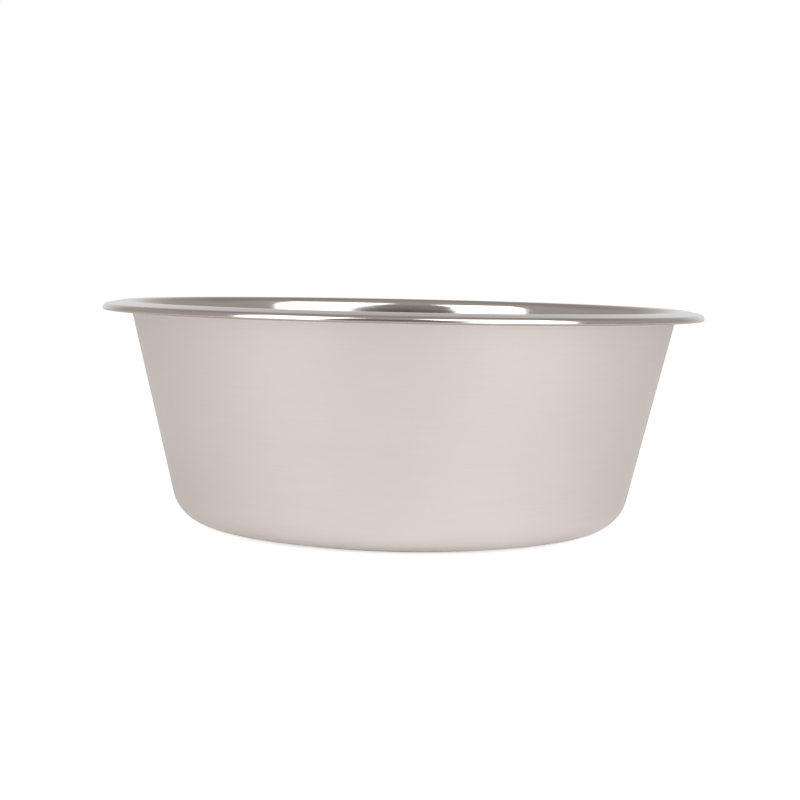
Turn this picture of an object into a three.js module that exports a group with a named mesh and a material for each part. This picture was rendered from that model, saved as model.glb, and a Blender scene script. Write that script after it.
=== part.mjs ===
// A stainless-steel pet food bowl. One sheet is deep-drawn into a steep-walled pan, its edge is laid over
// into a flange that slopes down outwards and is rolled under into a hollow curl, and a rubber foot ring is
// bonded into a groove that is pressed in the base.
// Millimetres, +Z up. The origin is the centre of the foot ring's underside, where the bowl stands.

import * as THREE from 'three';

// Drawn shell, measured on its outside
const SHEET = 0.6;                // thickness of the steel, the same all over
const RIM_DIAMETER = 250;         // over the curled edge
const MOUTH_DIAMETER = 228.3;     // of the wall, where it would meet the plane of the rim's crest
const BASE_DIAMETER = 185.2;      // of the wall, where it would meet the plane of the base
const SHELL_HEIGHT = 91.4;        // from the base to the rim's crest
const BASE_CORNER_RADIUS = 15.5;  // of the bend from base to wall
const RIM_BEND_RADIUS = 3.8;      // of the bend from wall to flange, in the hollow under the flange
const FLANGE_SLOPE = 11;          // degrees that the flange falls outwards from the crest
const CURL_TOP_RADIUS = 2.05;     // of the edge's roll from the flange to its outermost point, on its outside
const CURL_FOOT_RADIUS = 0.1;     // of the tight return under that roll, on its inside
const CURL_FOOT_TURN = 200;       // degrees of the return, from the outermost point to the cut end

// Base panel and the groove for the foot ring
const PANEL_RISE = 0.5;           // of the middle panel above the land, so that the base can't bulge and rock
const LAND_WIDTH = 1.5;           // flat of the base between the groove and the base corner
const GROOVE_DEPTH = 1.2;         // from the land up to the groove's roof
const GROOVE_SIDE_RUN = 1.4;      // how far each sloping side of the groove leans out
const GROOVE_BEND_RADIUS = 1.0;   // of the four bends of the groove, at mid sheet

// Foot ring
const RING_WIDTH = 8;             // across its section
const RING_PROUD = 1.0;           // how far it stands out below the base
const RING_FOOT_RADIUS = 0.6;     // of its two lower edges
const RING_TOP_RADIUS = 0.3;      // of its two upper edges
const RING_SIDE_GAP = 0.5;        // from the ring's side to the edge of the groove's roof
const BOND_LINE = 0.2;            // adhesive between the ring and the groove's roof

// Fineness of the round faces
const TURN_STEPS = 72;            // facets round the bowl's axis
const CHORD_ERROR = 0.06;         // how far a facet may cut into a bend
const FEWEST_FACETS = 2;          // of a bend

const HALF_SHEET = SHEET / 2;
const WALL_LEAN = Math.atan2((MOUTH_DIAMETER - BASE_DIAMETER) / 2, SHELL_HEIGHT);
const FLANGE_FALL = THREE.MathUtils.degToRad(FLANGE_SLOPE);

// Points along a section, each with the direction to the left of the way the section runs.
const station = (point, left) => ({ point, left });
const leftOf = (heading) => new THREE.Vector2(-heading.y, heading.x);
const moved = (point, direction, distance) => point.clone().addScaledVector(direction, distance);
const turned = (vector, angle) => vector.clone().rotateAround(new THREE.Vector2(), angle);

// Stations of an arc that leaves start along heading and turns by angle, to the left where it is positive.
function arc(start, heading, radius, angle) {
  const side = Math.sign(angle);
  const left = leftOf(heading);
  const centre = moved(start, left, side * radius);
  const facetTurn = 2 * Math.acos(Math.max(0, 1 - CHORD_ERROR / radius));
  const steps = Math.max(FEWEST_FACETS, Math.ceil(Math.abs(angle) / facetTurn));
  return Array.from({ length: steps + 1 }, (_, i) => {
    const direction = turned(left, (angle * i) / steps);
    return station(moved(centre, direction, -side * radius), direction);
  });
}

// Stations of the bend that rounds a corner between the corners before and after it.
function bend(before, corner, after) {
  const heading = corner.point.clone().sub(before.point).normalize();
  const next = after.point.clone().sub(corner.point).normalize();
  const angle = Math.atan2(heading.cross(next), heading.dot(next));
  const reach = corner.radius * Math.tan(Math.abs(angle) / 2);
  return arc(moved(corner.point, heading, -reach), heading, corner.radius, angle);
}

const corner = (r, z, radius = 0) => ({ point: new THREE.Vector2(r, z), radius });

// The solid that a closed section (radius, height) sweeps round the bowl's axis.
function revolve(section) {
  return new THREE.LatheGeometry(section, TURN_STEPS).rotateX(Math.PI / 2);
}

// Heights of the sheet's middle
const landHeight = RING_PROUD + HALF_SHEET;
const panelHeight = landHeight + PANEL_RISE;
const roofHeight = landHeight + GROOVE_DEPTH;
const crestHeight = RING_PROUD + SHELL_HEIGHT - HALF_SHEET;

// The wall's middle line is the outside moved in by half a sheet, square to the wall.
const wallRadius = (height) =>
  BASE_DIAMETER / 2 + (height - RING_PROUD) * Math.tan(WALL_LEAN) - HALF_SHEET / Math.cos(WALL_LEAN);

// Radii at the sheet's middle, from the base corner inwards
const baseCornerBend = BASE_CORNER_RADIUS - HALF_SHEET;
const rimBend = RIM_BEND_RADIUS + HALF_SHEET;
const squareTurn = Math.PI / 2 - WALL_LEAN;
const baseFlatRadius = wallRadius(landHeight) - baseCornerBend * Math.tan(squareTurn / 2);
const grooveOuter = baseFlatRadius - LAND_WIDTH;
const roofOuter = grooveOuter - GROOVE_SIDE_RUN;
const ringOuter = roofOuter - RING_SIDE_GAP;
const ringInner = ringOuter - RING_WIDTH;
const roofInner = ringInner - RING_SIDE_GAP;
const grooveInner = roofInner - GROOVE_SIDE_RUN;

// The rim's bend touches the wall, the plane of the crest and the flange, so its centre and the two
// directions square to wall and flange give the corner that it rounds.
const wallUp = new THREE.Vector2(Math.sin(WALL_LEAN), Math.cos(WALL_LEAN));
const flangeOut = new THREE.Vector2(Math.cos(FLANGE_FALL), -Math.sin(FLANGE_FALL));
const rimTurn = squareTurn + FLANGE_FALL;
const rimCentre = new THREE.Vector2(wallRadius(crestHeight - rimBend), crestHeight - rimBend)
  .add(new THREE.Vector2(rimBend / Math.cos(WALL_LEAN), 0));
const rimMitre = leftOf(wallUp).add(leftOf(flangeOut)).normalize();
const rimCorner = moved(rimCentre, rimMitre, rimBend / Math.cos(rimTurn / 2));

// The curl hangs under the end of the flange, and its outermost point sets the rim's diameter.
const curlTopBend = CURL_TOP_RADIUS - HALF_SHEET;
const curlFootBend = CURL_FOOT_RADIUS + HALF_SHEET;
const curlTopTurn = Math.PI / 2 - FLANGE_FALL;
const curlFootTurn = THREE.MathUtils.degToRad(CURL_FOOT_TURN);
const curlStartRadius = RIM_DIAMETER / 2 - CURL_TOP_RADIUS + curlTopBend * Math.sin(FLANGE_FALL);
const curlStartHeight = rimCorner.y - (curlStartRadius - rimCorner.x) * Math.tan(FLANGE_FALL);

// Section of the drawn sheet: its middle line from the axis out to the curl's cut end, given its thickness.
function shellSection() {
  const corners = [
    corner(0, panelHeight),
    corner(grooveInner, panelHeight, GROOVE_BEND_RADIUS),
    corner(roofInner, roofHeight, GROOVE_BEND_RADIUS),
    corner(roofOuter, roofHeight, GROOVE_BEND_RADIUS),
    corner(grooveOuter, landHeight, GROOVE_BEND_RADIUS),
    corner(wallRadius(landHeight), landHeight, baseCornerBend),
    corner(rimCorner.x, rimCorner.y, rimBend),
    corner(curlStartRadius, curlStartHeight),
  ];
  const outwards = new THREE.Vector2(1, 0);
  const downwards = new THREE.Vector2(0, -1);
  const curlTop = arc(corners.at(-1).point, flangeOut, curlTopBend, -curlTopTurn);
  const curlFoot = arc(curlTop.at(-1).point, downwards, curlFootBend, -curlFootTurn);
  const middle = [
    station(corners[0].point, leftOf(outwards)),
    ...corners.slice(1, -1).flatMap((c, i) => bend(corners[i], c, corners[i + 2])),
    ...curlTop,
    ...curlFoot.slice(1),
  ];
  const underside = middle.map(({ point, left }) => moved(point, left, -HALF_SHEET));
  const foodSide = middle.map(({ point, left }) => moved(point, left, HALF_SHEET));
  return [...underside, ...foodSide.reverse()];
}

// Section of the foot ring: a flat strip with rounded edges, from the floor up to the bond line.
function ringSection() {
  const top = RING_PROUD + GROOVE_DEPTH - BOND_LINE;
  const corners = [
    corner(ringInner, 0, RING_FOOT_RADIUS),
    corner(ringOuter, 0, RING_FOOT_RADIUS),
    corner(ringOuter, top, RING_TOP_RADIUS),
    corner(ringInner, top, RING_TOP_RADIUS),
  ];
  const count = corners.length;
  const outline = corners.flatMap((c, i) =>
    bend(corners[(i + count - 1) % count], c, corners[(i + 1) % count]).map(({ point }) => point));
  return [...outline, outline[0]];
}

function piece(name, section, material) {
  const mesh = new THREE.Mesh(revolve(section), new THREE.MeshStandardMaterial(material));
  mesh.name = name;
  return mesh;
}

const satinSteel = { color: 0xdacfca, roughness: 0.35, metalness: 1 };
const blackRubber = { color: 0x1d1d1f, roughness: 0.85, metalness: 0 };

const bowl = new THREE.Group();
bowl.add(piece('bowl_shell', shellSection(), satinSteel));
bowl.add(piece('foot_ring', ringSection(), blackRubber));

export default bowl;
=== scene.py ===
import math

import bpy
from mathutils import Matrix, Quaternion, Vector


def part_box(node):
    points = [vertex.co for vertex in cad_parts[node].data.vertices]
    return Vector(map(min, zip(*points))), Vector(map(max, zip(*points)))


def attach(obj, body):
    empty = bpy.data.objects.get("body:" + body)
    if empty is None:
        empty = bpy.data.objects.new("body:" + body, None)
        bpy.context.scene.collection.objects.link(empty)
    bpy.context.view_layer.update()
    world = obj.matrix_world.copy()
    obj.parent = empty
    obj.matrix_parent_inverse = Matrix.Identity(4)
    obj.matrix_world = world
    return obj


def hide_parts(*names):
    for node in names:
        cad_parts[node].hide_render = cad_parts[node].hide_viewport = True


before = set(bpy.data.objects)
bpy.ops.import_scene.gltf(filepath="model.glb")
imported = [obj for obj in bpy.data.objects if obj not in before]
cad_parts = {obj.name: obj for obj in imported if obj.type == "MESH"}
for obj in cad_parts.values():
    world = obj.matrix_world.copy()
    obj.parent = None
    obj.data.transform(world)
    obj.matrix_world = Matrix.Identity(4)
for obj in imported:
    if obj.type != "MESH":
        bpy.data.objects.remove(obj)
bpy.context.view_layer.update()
scene = bpy.context.scene
scene.view_settings.view_transform = "Standard"

# Camera
# A long lens on a stand in front of the bowl, a little higher than the rim, so that the far inside shows
# as a narrow strip. The camera leans slightly, and the bowl's right side sits lower in the picture.
camera_place = Vector((0, -0.7224, 0.1093))
camera_aim = Vector((-0.00076, 0, 0.0520))
camera_lean = 0.0208
sensor_millimetres = 36
focal_share = 2.1401

lens = bpy.data.cameras.new("camera")
lens.sensor_width = sensor_millimetres
lens.lens = focal_share * sensor_millimetres
camera = bpy.data.objects.new("camera", lens)
camera.location = camera_place
camera.rotation_mode = "QUATERNION"
sight = (camera_aim - camera_place).to_track_quat("-Z", "Y")
camera.rotation_quaternion = sight @ Quaternion((0, 0, 1), camera_lean)
scene.collection.objects.link(camera)
scene.camera = camera

# Bowl shell
# One disc of stainless steel, deep-drawn into a steep-walled pan. The edge is laid over into a sloping
# flange and rolled under into a hollow curl, and a groove for the foot ring is pressed in the base. It is
# ground to a satin outside, and polished inside and over the rim.
sheet = 0.0006
mouth_radius = 0.11415
base_radius = 0.0926
base_corner_radius = 0.0155
rim_bend_radius = 0.0038
flange_fall = math.radians(11)
curl_top_radius = 0.00205
curl_foot_radius = 0.0001
curl_foot_turn = math.radians(200)
curl_foot_bends = 3
panel_rise = 0.0005
land_width = 0.0015
groove_depth = 0.0012
groove_side_run = 0.0014
groove_bend_radius = 0.0010
ring_width = 0.008
ring_side_gap = 0.0005

# Fineness of the mesh
turn_steps = 192
bend_steps = 10
longest_facet = 0.002
merge_distance = 1e-6
sharp_edge_angle = math.radians(40)

# Finishes
satin_dark = (0.68, 0.63, 0.605, 1)
satin_light = (0.72, 0.67, 0.645, 1)
satin_roughness = 0.46
satin_line_width = 0.0005
satin_line_depth = 0.000004
satin_line_share = 0.6
polish_dark = (0.69, 0.655, 0.635, 1)
polish_light = (0.75, 0.715, 0.695, 1)
polish_roughness = 0.08
polish_line_width = 0.0004
polish_line_depth = 0.0000005
polish_line_share = 0.5
roughness_spread = 0.08
line_changes_per_radian = 6
cloud_width = 0.03
noise_low = 0.3
noise_high = 0.7
axis_clearance = 1e-5
# Painted shade: a brown band on the polished steel under the curl's widest point, where the rolled edge
# turns under
painted_shade_brown = (0.42, 0.36, 0.325, 1)
painted_shade_reach = 0.006
painted_shade_fade = 0.002
painted_shade_edge = 0.0003

shell_low, shell_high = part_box("bowl_shell")
rim_radius = shell_high.x
half_sheet = sheet / 2
wall_lean = math.atan2(mouth_radius - base_radius, shell_high.z - shell_low.z)


def wall_middle(height):
    """Radius of the middle of the wall's sheet at a height."""
    outside = base_radius + (height - shell_low.z) * math.tan(wall_lean)
    return outside - half_sheet / math.cos(wall_lean)


def heading(angle):
    """Direction in the plane of the section, which has the radius along X and the height along Z."""
    return Vector((math.cos(angle), 0, math.sin(angle)))


land_height = shell_low.z + half_sheet
panel_height = land_height + panel_rise
roof_height = land_height + groove_depth
crest_height = shell_high.z - half_sheet
base_corner_bend = base_corner_radius - half_sheet
rim_bend = rim_bend_radius + half_sheet
curl_top_bend = curl_top_radius - half_sheet
curl_foot_bend = curl_foot_radius + half_sheet
wall_turn = math.pi / 2 - wall_lean
base_flat_radius = wall_middle(land_height) - base_corner_bend * math.tan(wall_turn / 2)
groove_outer = base_flat_radius - land_width
roof_outer = groove_outer - groove_side_run
ring_outer = roof_outer - ring_side_gap
ring_inner = ring_outer - ring_width
roof_inner = ring_inner - ring_side_gap
groove_inner = roof_inner - groove_side_run

# The rim's bend touches the wall, the crest's plane and the flange; the corner that it rounds lies on the
# line that halves the angle between wall and flange.
rim_centre_height = crest_height - rim_bend
rim_centre_radius = wall_middle(rim_centre_height) + rim_bend / math.cos(wall_lean)
rim_mitre = (heading(math.pi - wall_lean) + heading(math.pi / 2 - flange_fall)).normalized()
rim_mitre_reach = rim_bend / math.cos((wall_turn + flange_fall) / 2)
rim_corner = Vector((rim_centre_radius, 0, rim_centre_height)) + rim_mitre * rim_mitre_reach
curl_start_radius = rim_radius - curl_top_radius + curl_top_bend * math.sin(flange_fall)
curl_start_height = rim_corner.z - (curl_start_radius - rim_corner.x) * math.tan(flange_fall)
curl_widest_height = curl_start_height - curl_top_bend * math.cos(flange_fall)

# Corners of the sheet's middle line, from the axis out to the curl's cut end, each with its bend's radius.
# The return of the curl turns further than one rounded corner can, so it is made of several.
middle_line = [
    (Vector((0, 0, panel_height)), 0),
    (Vector((groove_inner, 0, panel_height)), groove_bend_radius),
    (Vector((roof_inner, 0, roof_height)), groove_bend_radius),
    (Vector((roof_outer, 0, roof_height)), groove_bend_radius),
    (Vector((groove_outer, 0, land_height)), groove_bend_radius),
    (Vector((wall_middle(land_height), 0, land_height)), base_corner_bend),
    (rim_corner, rim_bend),
]
curl_point = Vector((curl_start_radius, 0, curl_start_height))
curl_heading = -flange_fall
curl_bends = [(math.pi / 2 - flange_fall, curl_top_bend)]
curl_bends += curl_foot_bends * [(curl_foot_turn / curl_foot_bends, curl_foot_bend)]
for turn, bend in curl_bends:
    reach = bend * math.tan(turn / 2)
    corner = curl_point + heading(curl_heading) * reach
    middle_line.append((corner, bend))
    curl_heading -= turn
    curl_point = corner + heading(curl_heading) * reach
middle_line.append((curl_point, 0))


class Socket:
    """An output of a node. Arithmetic on it adds Math nodes to the same tree."""

    def __init__(self, tree, output):
        self.tree = tree
        self.output = output

    def node(self, kind, settings=None, inputs=None, output=0):
        """Adds a node with its settings, then its sockets' values or links, and gives one of its outputs."""
        node = self.tree.nodes.new(kind)
        for name, value in (settings or {}).items():
            setattr(node, name, value)
        for key, value in (inputs or {}).items():
            for each in value if isinstance(value, list) else [value]:
                if isinstance(each, Socket):
                    self.tree.links.new(each.output, node.inputs[key])
                else:
                    node.inputs[key].default_value = each
        return Socket(self.tree, node.outputs[output]) if node.outputs else None

    def beside(self, output):
        """Another output of the same node."""
        return Socket(self.tree, self.output.node.outputs[output])

    def math(self, operation, *values):
        """A Math node on these values."""
        return self.node("ShaderNodeMath", {"operation": operation}, dict(enumerate(values)))

    def __add__(self, other):
        return self.math("ADD", self, other)

    def __sub__(self, other):
        return self.math("SUBTRACT", self, other)

    def __rsub__(self, other):
        return self.math("SUBTRACT", other, self)

    def __mul__(self, other):
        return self.math("MULTIPLY", self, other)

    def __truediv__(self, other):
        return self.math("DIVIDE", self, other)

    def __rtruediv__(self, other):
        return self.math("DIVIDE", other, self)

    __radd__ = __add__
    __rmul__ = __mul__


def spun_tree(name, more_inputs):
    """A new tree with the inputs of every spun piece and more of its own; gives its line of corners."""
    tree = bpy.data.node_groups.new(name, "GeometryNodeTree")
    tree.interface.new_socket("Geometry", in_out="OUTPUT", socket_type="NodeSocketGeometry")
    shared_inputs = {
        "Geometry": "NodeSocketGeometry",
        "Path radius": "NodeSocketFloat",
        "Turn steps": "NodeSocketInt",
        "Bend steps": "NodeSocketInt",
        "Longest facet": "NodeSocketFloat",
        "Sharp angle": "NodeSocketFloat",
        "Outside finish": "NodeSocketMaterial",
    }
    for label, kind in {**shared_inputs, **more_inputs}.items():
        tree.interface.new_socket(label, in_out="INPUT", socket_type=kind)
    return Socket(tree, tree.nodes.new("NodeGroupInput").outputs["Geometry"])


def merged(surface):
    """The surface with points that lie on each other made one."""
    settings = {"Geometry": surface, "Distance": merge_distance}
    return surface.node("GeometryNodeMergeByDistance", None, settings)


def spun(line):
    """The surface that a line of corners makes when its corners are bent and it is spun round the axis."""
    path_radius = line.beside("Path radius")

    # The bent line, with points along its straight runs too, so that flat stretches shade flat
    bend_radius = line.node("GeometryNodeInputNamedAttribute", {"data_type": "FLOAT"}, {"Name": "bend"})
    curve = line.node("GeometryNodeMeshToCurve", None, {"Mesh": line})
    curve = line.node(
        "GeometryNodeFilletCurve",
        {"mode": "POLY"},
        {"Curve": curve, "Count": line.beside("Bend steps"), "Radius": bend_radius},
    )
    here = line.node("GeometryNodeInputPosition")
    count = line.node(
        "GeometryNodeAttributeDomainSize", {"component": "CURVE"}, {"Geometry": curve}, "Point Count"
    )
    next_index = count.math("MODULO", line.node("GeometryNodeInputIndex") + 1, count)
    following = line.node(
        "GeometryNodeFieldAtIndex", {"data_type": "FLOAT_VECTOR"}, {"Value": here, "Index": next_index}
    )
    run = line.node("ShaderNodeVectorMath", {"operation": "DISTANCE"}, {0: here, 1: following}, "Value")
    cuts = run.math("FLOOR", run / line.beside("Longest facet"))
    curve = line.node("GeometryNodeSubdivideCurve", None, {"Curve": curve, "Cuts": cuts})

    # The line as the profile of a sweep round the axis: outwards along X, downwards along Y
    inwards = line.node("ShaderNodeCombineXYZ", None, {"X": 0 - path_radius})
    profile = line.node(
        "GeometryNodeTransform",
        None,
        {"Geometry": curve, "Translation": inwards, "Rotation": (math.pi / 2, 0, 0)},
    )
    path = line.node(
        "GeometryNodeCurvePrimitiveCircle",
        {"mode": "RADIUS"},
        {"Resolution": line.beside("Turn steps"), "Radius": path_radius},
    )
    return merged(line.node("GeometryNodeCurveToMesh", None, {"Curve": path, "Profile Curve": profile}))


def coated(line, surface):
    """The surface with the outside finish all over."""
    finish = {"Geometry": surface, "Material": line.beside("Outside finish")}
    return line.node("GeometryNodeSetMaterial", None, finish)


def shaded(line, piece):
    """The piece with smooth shading and sharp corners, as real faces."""
    edge_angle = line.node("GeometryNodeInputMeshEdgeAngle")
    sharp = edge_angle.math("GREATER_THAN", edge_angle, line.beside("Sharp angle"))
    piece = line.node("GeometryNodeSetShadeSmooth", None, {"Geometry": piece, "Shade Smooth": True})
    piece = line.node(
        "GeometryNodeSetShadeSmooth",
        {"domain": "EDGE"},
        {"Geometry": piece, "Selection": sharp, "Shade Smooth": False},
    )
    return line.node("GeometryNodeRealizeInstances", None, {"Geometry": piece})


def drawn_sheet_tree():
    """Half a sheet out from the spun middle line and a whole one back in, closed at the curl's cut end."""
    line = spun_tree(
        "drawn_sheet", {"Sheet thickness": "NodeSocketFloat", "Food side finish": "NodeSocketMaterial"}
    )
    thickness = line.beside("Sheet thickness")
    normal = line.node("GeometryNodeInputNormal")
    outwards = line.node(
        "ShaderNodeVectorMath", {"operation": "SCALE"}, {0: normal, "Scale": 0 - thickness / 2}
    )
    middle = coated(line, spun(line))
    outside = line.node("GeometryNodeSetPosition", None, {"Geometry": middle, "Offset": outwards})
    inside = line.node(
        "GeometryNodeExtrudeMesh",
        {"mode": "FACES"},
        {"Mesh": outside, "Offset Scale": thickness, "Individual": False},
    )
    outside = line.node("GeometryNodeFlipFaces", None, {"Mesh": outside})
    shell = line.node("GeometryNodeJoinGeometry", None, {"Geometry": [outside, inside]})
    food_side = {"Selection": inside.beside("Top"), "Material": line.beside("Food side finish")}
    shell = line.node(
        "GeometryNodeSetMaterial", None, {"Geometry": shaded(line, merged(shell)), **food_side}
    )
    line.node("NodeGroupOutput", None, {"Geometry": shell})
    return line.tree


def new_material(name):
    """A material with no nodes yet but the Object coordinates, which it gives too."""
    material = bpy.data.materials.new(name)
    material.use_nodes = True
    tree = material.node_tree
    tree.nodes.clear()
    place = Socket(tree, tree.nodes.new("ShaderNodeTexCoord").outputs["Object"])
    return material, place


def surfaced(place, inputs):
    """Ends a material in one Principled shader with these inputs."""
    shader = place.node("ShaderNodeBsdfPrincipled", None, inputs)
    place.node("ShaderNodeOutputMaterial", None, {"Surface": shader})


def rising(value, least, most):
    """A smooth step of a value from 0 at least to 1 at most."""
    ends = {"Value": value, "From Min": least, "From Max": most}
    return value.node("ShaderNodeMapRange", {"interpolation_type": "SMOOTHSTEP"}, ends)


def mixed(share, low, high):
    """A colour between two others: a Mix node's colours are its inputs 6 and 7 and its output 2."""
    return share.node("ShaderNodeMix", {"data_type": "RGBA"}, {0: share, 6: low, 7: high}, 2)


def from_axis(place):
    """The direction out from the axis, as its parts along X and Y, the distance out, and the height."""
    # The clearance keeps the distance above nought, so that there is a direction on the axis too
    axes = place.node("ShaderNodeSeparateXYZ", None, {0: place})
    across = axes.beside("X")
    along = axes.beside("Y")
    radius = axes.math("SQRT", across * across + along * along + axis_clearance**2)
    return across / radius, along / radius, radius, axes.beside("Z")


def turned_lines(place, line_width):
    """Fine lines round the axis, as an abrasive leaves them on a bowl that turns against it."""
    across, along, radius, height = from_axis(place)
    where = place.node(
        "ShaderNodeCombineXYZ",
        None,
        {
            "X": across * line_changes_per_radian,
            "Y": along * line_changes_per_radian,
            "Z": height / line_width,
        },
    )
    noise = place.node(
        "ShaderNodeTexNoise",
        {"noise_dimensions": "4D"},
        {"Vector": where, "W": radius / line_width, "Scale": 1, "Detail": 3, "Roughness": 0.6},
    )
    return rising(noise, noise_low, noise_high)


def clouds(place, width):
    """Slow, even change over the surface."""
    noise = place.node("ShaderNodeTexNoise", None, {"Vector": place, "Scale": 1 / width, "Detail": 2})
    return rising(noise, noise_low, noise_high)


def steel_tone(place, lines, line_share):
    """Dark and light of a steel finish: its lines, and slow clouds over them."""
    return line_share * lines + (1 - line_share) * clouds(place, cloud_width)


def relief(height, depth):
    """Shallow relief for a shader's Normal."""
    return height.node("ShaderNodeBump", None, {"Height": height, "Distance": depth, "Strength": 1})


def satin_steel():
    """Ground on the outside: fine lines round the wall, soft reflections with a warm tint."""
    material, place = new_material("satin_steel")
    lines = turned_lines(place, satin_line_width)
    tone = steel_tone(place, lines, satin_line_share)
    surfaced(
        place,
        {
            "Base Color": mixed(tone, satin_dark, satin_light),
            "Metallic": 1,
            "Roughness": satin_roughness + roughness_spread * tone,
            "Anisotropic": 0.2,
            "Anisotropic Rotation": 0.25,
            "Normal": relief(lines, satin_line_depth),
        },
    )
    return material


def polished_steel():
    """Polished inside and over the rim: faint lines round the axis, and a brown band of painted shade under
    the curl's widest point.
    """
    material, place = new_material("polished_steel")
    lines = turned_lines(place, polish_line_width)
    tone = steel_tone(place, lines, polish_line_share)
    radius, height = from_axis(place)[2:]
    # Painted shade: darkens the polished colour to brown near the rim's outer edge, below the curl's widest
    # point
    painted_shade_start = rim_radius - painted_shade_reach
    painted_shade = rising(radius, painted_shade_start, painted_shade_start + painted_shade_fade)
    painted_shade = painted_shade * rising(height, curl_widest_height + painted_shade_edge / 2, curl_widest_height - painted_shade_edge)
    surfaced(
        place,
        {
            "Base Color": mixed(painted_shade, mixed(tone, polish_dark, polish_light), painted_shade_brown),
            "Metallic": 1,
            "Roughness": polish_roughness + roughness_spread * tone,
            "Normal": relief(lines, polish_line_depth),
        },
    )
    return material


def bent_line(name, corners, closed=False):
    """An object whose mesh is the line of corners, with each corner's bend radius as an attribute."""
    count = len(corners)
    edges = [(i, (i + 1) % count) for i in range(count if closed else count - 1)]
    mesh = bpy.data.meshes.new(name)
    mesh.from_pydata([point for point, _ in corners], edges, [])
    bend = mesh.attributes.new("bend", "FLOAT", "POINT")
    bend.data.foreach_set("value", [radius for _, radius in corners])
    line = bpy.data.objects.new(name, mesh)
    scene.collection.objects.link(line)
    return line


def made(piece, tree, inputs):
    """Runs a tree on a piece with named inputs, and leaves the piece as a plain mesh."""
    modifier = piece.modifiers.new(tree.name, "NODES")
    modifier.node_group = tree
    for socket in tree.interface.items_tree:
        if socket.name in inputs:
            modifier[socket.identifier] = inputs[socket.name]
    graph = bpy.context.evaluated_depsgraph_get()
    mesh = bpy.data.meshes.new_from_object(piece.evaluated_get(graph), depsgraph=graph)
    piece.modifiers.remove(modifier)
    mesh.name = piece.name
    piece.data = mesh
    return piece


spin_sizes = {
    "Path radius": rim_radius,
    "Turn steps": turn_steps,
    "Bend steps": bend_steps,
    "Longest facet": longest_facet,
    "Sharp angle": sharp_edge_angle,
}
bowl_shell = made(
    bent_line("drawn_bowl", middle_line),
    drawn_sheet_tree(),
    {
        **spin_sizes,
        "Sheet thickness": sheet,
        "Outside finish": satin_steel(),
        "Food side finish": polished_steel(),
    },
)
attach(bowl_shell, "root")
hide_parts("bowl_shell")

# Foot ring
# A flat ring of black rubber, moulded with rounded edges and bonded into the groove of the base. It
# stands out below the steel, keeps the bowl from sliding and is all that touches the floor.
ring_foot_radius = 0.0006
ring_top_radius = 0.0003
rubber_black = (0.009, 0.009, 0.010, 1)
rubber_dusty = (0.022, 0.021, 0.021, 1)
rubber_roughness = 0.7
grain_roughness = 0.2
grain_width = 0.0004
grain_depth = 0.00003

ring_low, ring_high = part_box("foot_ring")
ring_section = [
    (Vector((ring_high.x - ring_width, 0, ring_low.z)), ring_foot_radius),
    (Vector((ring_high.x - ring_width, 0, ring_high.z)), ring_top_radius),
    (Vector((ring_high.x, 0, ring_high.z)), ring_top_radius),
    (Vector((ring_high.x, 0, ring_low.z)), ring_foot_radius),
]


def moulded_ring_tree():
    """The closed section of a ring, spun round the axis."""
    line = spun_tree("moulded_ring", {})
    line.node("NodeGroupOutput", None, {"Geometry": coated(line, shaded(line, spun(line)))})
    return line.tree


def black_rubber():
    """Matt from a sand-blasted mould: fine grain, with a little dust in it."""
    material, place = new_material("black_rubber")
    grain = clouds(place, grain_width)
    dust = grain * clouds(place, cloud_width)
    surfaced(
        place,
        {
            "Base Color": mixed(dust, rubber_black, rubber_dusty),
            "Roughness": rubber_roughness + grain_roughness * grain,
            "Normal": relief(grain, grain_depth),
        },
    )
    return material


foot_ring = made(
    bent_line("rubber_foot", ring_section, closed=True),
    moulded_ring_tree(),
    {**spin_sizes, "Outside finish": black_rubber()},
)
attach(foot_ring, "root")
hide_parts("foot_ring")

# Studio
# White paper in front of a white sweep, in a dim room of warm tint. Two tall softboxes stand to the left and
# the right behind the camera, with a dark oval card between them, and the polished strip inside the bowl
# mirrors them as two white patches with a dark gap.
white = (1, 1, 1, 1)
paper_white = (0.9, 0.9, 0.9, 1)
floor_half = 3
floor_gap = 0.00005
floor_shown = 0.68
floor_mirrored = 0.22
light_aim = Vector((0, 0, 0.07))
softbox_distance = 1.3
card_dark = (0.165, 0.165, 0.165, 1)
card_light = (0.40, 0.40, 0.40, 1)
card_change = (0.03, 0.075)
card_half_width = 0.45
card_half_height = 0.16
card_points = 48
card_elevation = 27
card_distance = 0.95

# The room by direction, from -1 to 1: back is away from the camera's side, and height is up. Each pair says
# where a part of the room starts and where it is full.
room_tint = (1, 0.93, 0.87, 1)
room_level = 0.42
sweep_level = 0.78
sweep_back = (0.6, 0.95)
sweep_height = (0.60, 0.12)
front_shade = 0.3
front_back = (-0.25, -0.6)
front_height = (0.8, 0.5)
ceiling_shade = 0.2
ceiling_back = (0, 0.3)
ceiling_height = (0.45, 0.75)


def flat_sheet(name, edge, finish):
    """A flat face inside an edge of points, which is part of the studio."""
    mesh = bpy.data.meshes.new(name)
    mesh.from_pydata(edge, [], [range(len(edge))])
    mesh.materials.append(finish)
    flat = bpy.data.objects.new(name, mesh)
    scene.collection.objects.link(flat)
    return flat


def hang(thing, azimuth, elevation, distance):
    """Hangs a thing by degrees right of the camera's side and up, facing the bowl, unseen by the camera."""
    turn = math.radians(azimuth)
    rise = math.radians(elevation)
    aside = math.cos(rise)
    thing.location = light_aim + distance * Vector(
        (aside * math.sin(turn), -aside * math.cos(turn), math.sin(rise))
    )
    thing.rotation_euler = (light_aim - thing.location).to_track_quat("-Z", "Y").to_euler()
    thing.visible_camera = False


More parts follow.
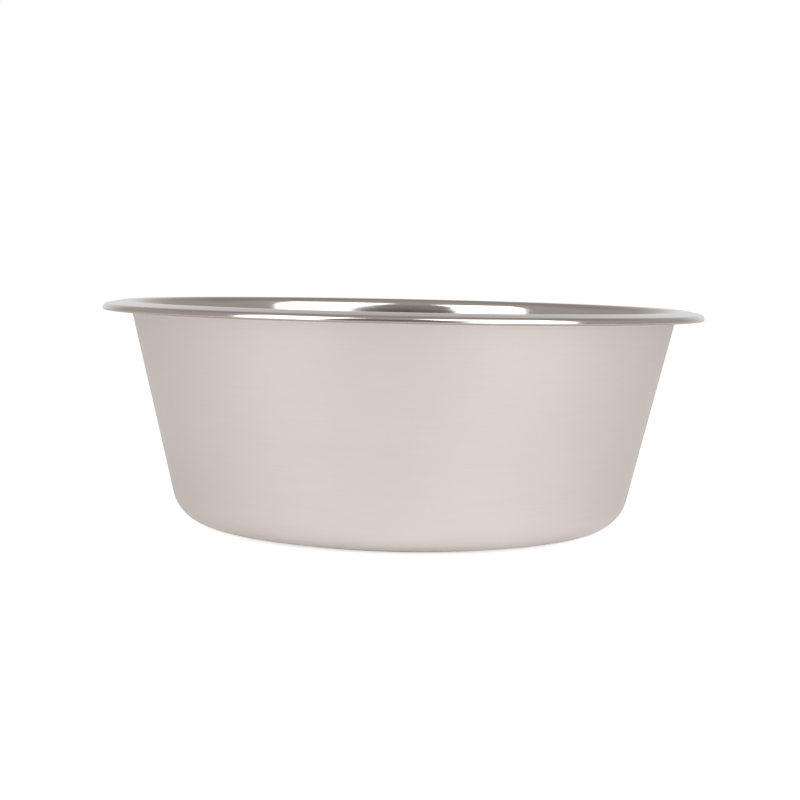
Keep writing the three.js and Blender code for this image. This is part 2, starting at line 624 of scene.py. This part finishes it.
def softbox(name, azimuth, elevation, width, height, level):
    """A lamp with an even face, which mirrors as a patch of this level."""
    lamp = bpy.data.lights.new(name, "AREA")
    lamp.shape = "RECTANGLE"
    lamp.size = width
    lamp.size_y = height
    lamp.energy = level * math.pi * width * height
    box = bpy.data.objects.new(name, lamp)
    scene.collection.objects.link(box)
    hang(box, azimuth, elevation, softbox_distance)


def pale_floor():
    """White paper that takes shadows, and shows and mirrors as the white ground of the picture."""
    material, place = new_material("pale_floor")
    paper = place.node("ShaderNodeBsdfDiffuse", None, {"Color": paper_white})
    shown = place.node("ShaderNodeLightPath", None, None, "Is Camera Ray")
    strength = shown * floor_shown + shown.beside("Is Glossy Ray") * floor_mirrored
    glow = place.node("ShaderNodeEmission", None, {"Color": white, "Strength": strength})
    lit = place.node("ShaderNodeAddShader", None, {0: paper, 1: glow})
    place.node("ShaderNodeOutputMaterial", None, {"Surface": lit})
    return material


def dark_cloth():
    """Dark cloth on the card, which turns lighter towards its upper edge."""
    material, place = new_material("dark_cloth")
    height = place.node("ShaderNodeSeparateXYZ", None, {0: place}, "Y")
    tone = mixed(rising(height, *card_change), card_dark, card_light)
    cloth = place.node("ShaderNodeBsdfDiffuse", None, {"Color": tone})
    place.node("ShaderNodeOutputMaterial", None, {"Surface": cloth})
    return material


def studio_room():
    """The dim room with its bright sweep, darker in front and at the ceiling; the camera sees it white."""
    world = bpy.data.worlds.new("white_room")
    world.use_nodes = True
    tree = world.node_tree
    tree.nodes.clear()
    way = Socket(tree, tree.nodes.new("ShaderNodeTexCoord").outputs["Generated"])
    axes = way.node("ShaderNodeSeparateXYZ", None, {0: way})
    back = axes.beside("Y")
    height = axes.beside("Z")
    sweep = rising(back, *sweep_back) * rising(height, *sweep_height)
    dark_front = rising(back, *front_back) * rising(height, *front_height)
    dark_ceiling = rising(back, *ceiling_back) * rising(height, *ceiling_height)
    shade = front_shade * dark_front + ceiling_shade * dark_ceiling
    room = (1 - shade) * room_level + sweep * (sweep_level - room_level)
    shown = way.node("ShaderNodeLightPath", None, None, "Is Camera Ray")
    tint = mixed(shown.math("MAXIMUM", shown, sweep), room_tint, white)
    strength = shown.math("MAXIMUM", shown, room)
    light = way.node("ShaderNodeBackground", None, {"Color": tint, "Strength": strength})
    way.node("ShaderNodeOutputWorld", None, {"Surface": light})
    return world


floor_signs = ((-1, -1), (1, -1), (1, 1), (-1, 1))
floor_edge = [(across * floor_half, along * floor_half, 0) for across, along in floor_signs]
floor = flat_sheet("floor", floor_edge, pale_floor())
floor.location.z = -floor_gap

card_turns = [2 * math.pi * i / card_points for i in range(card_points)]
card_edge = [(card_half_width * math.cos(t), card_half_height * math.sin(t), 0) for t in card_turns]
hang(flat_sheet("dark_card", card_edge, dark_cloth()), 0, card_elevation, card_distance)

softbox("left_softbox", azimuth=-44.5, elevation=29, width=0.80, height=1.44, level=1.95)
softbox("right_softbox", azimuth=42.5, elevation=32, width=1.05, height=1.65, level=2.0)
scene.world = studio_room()
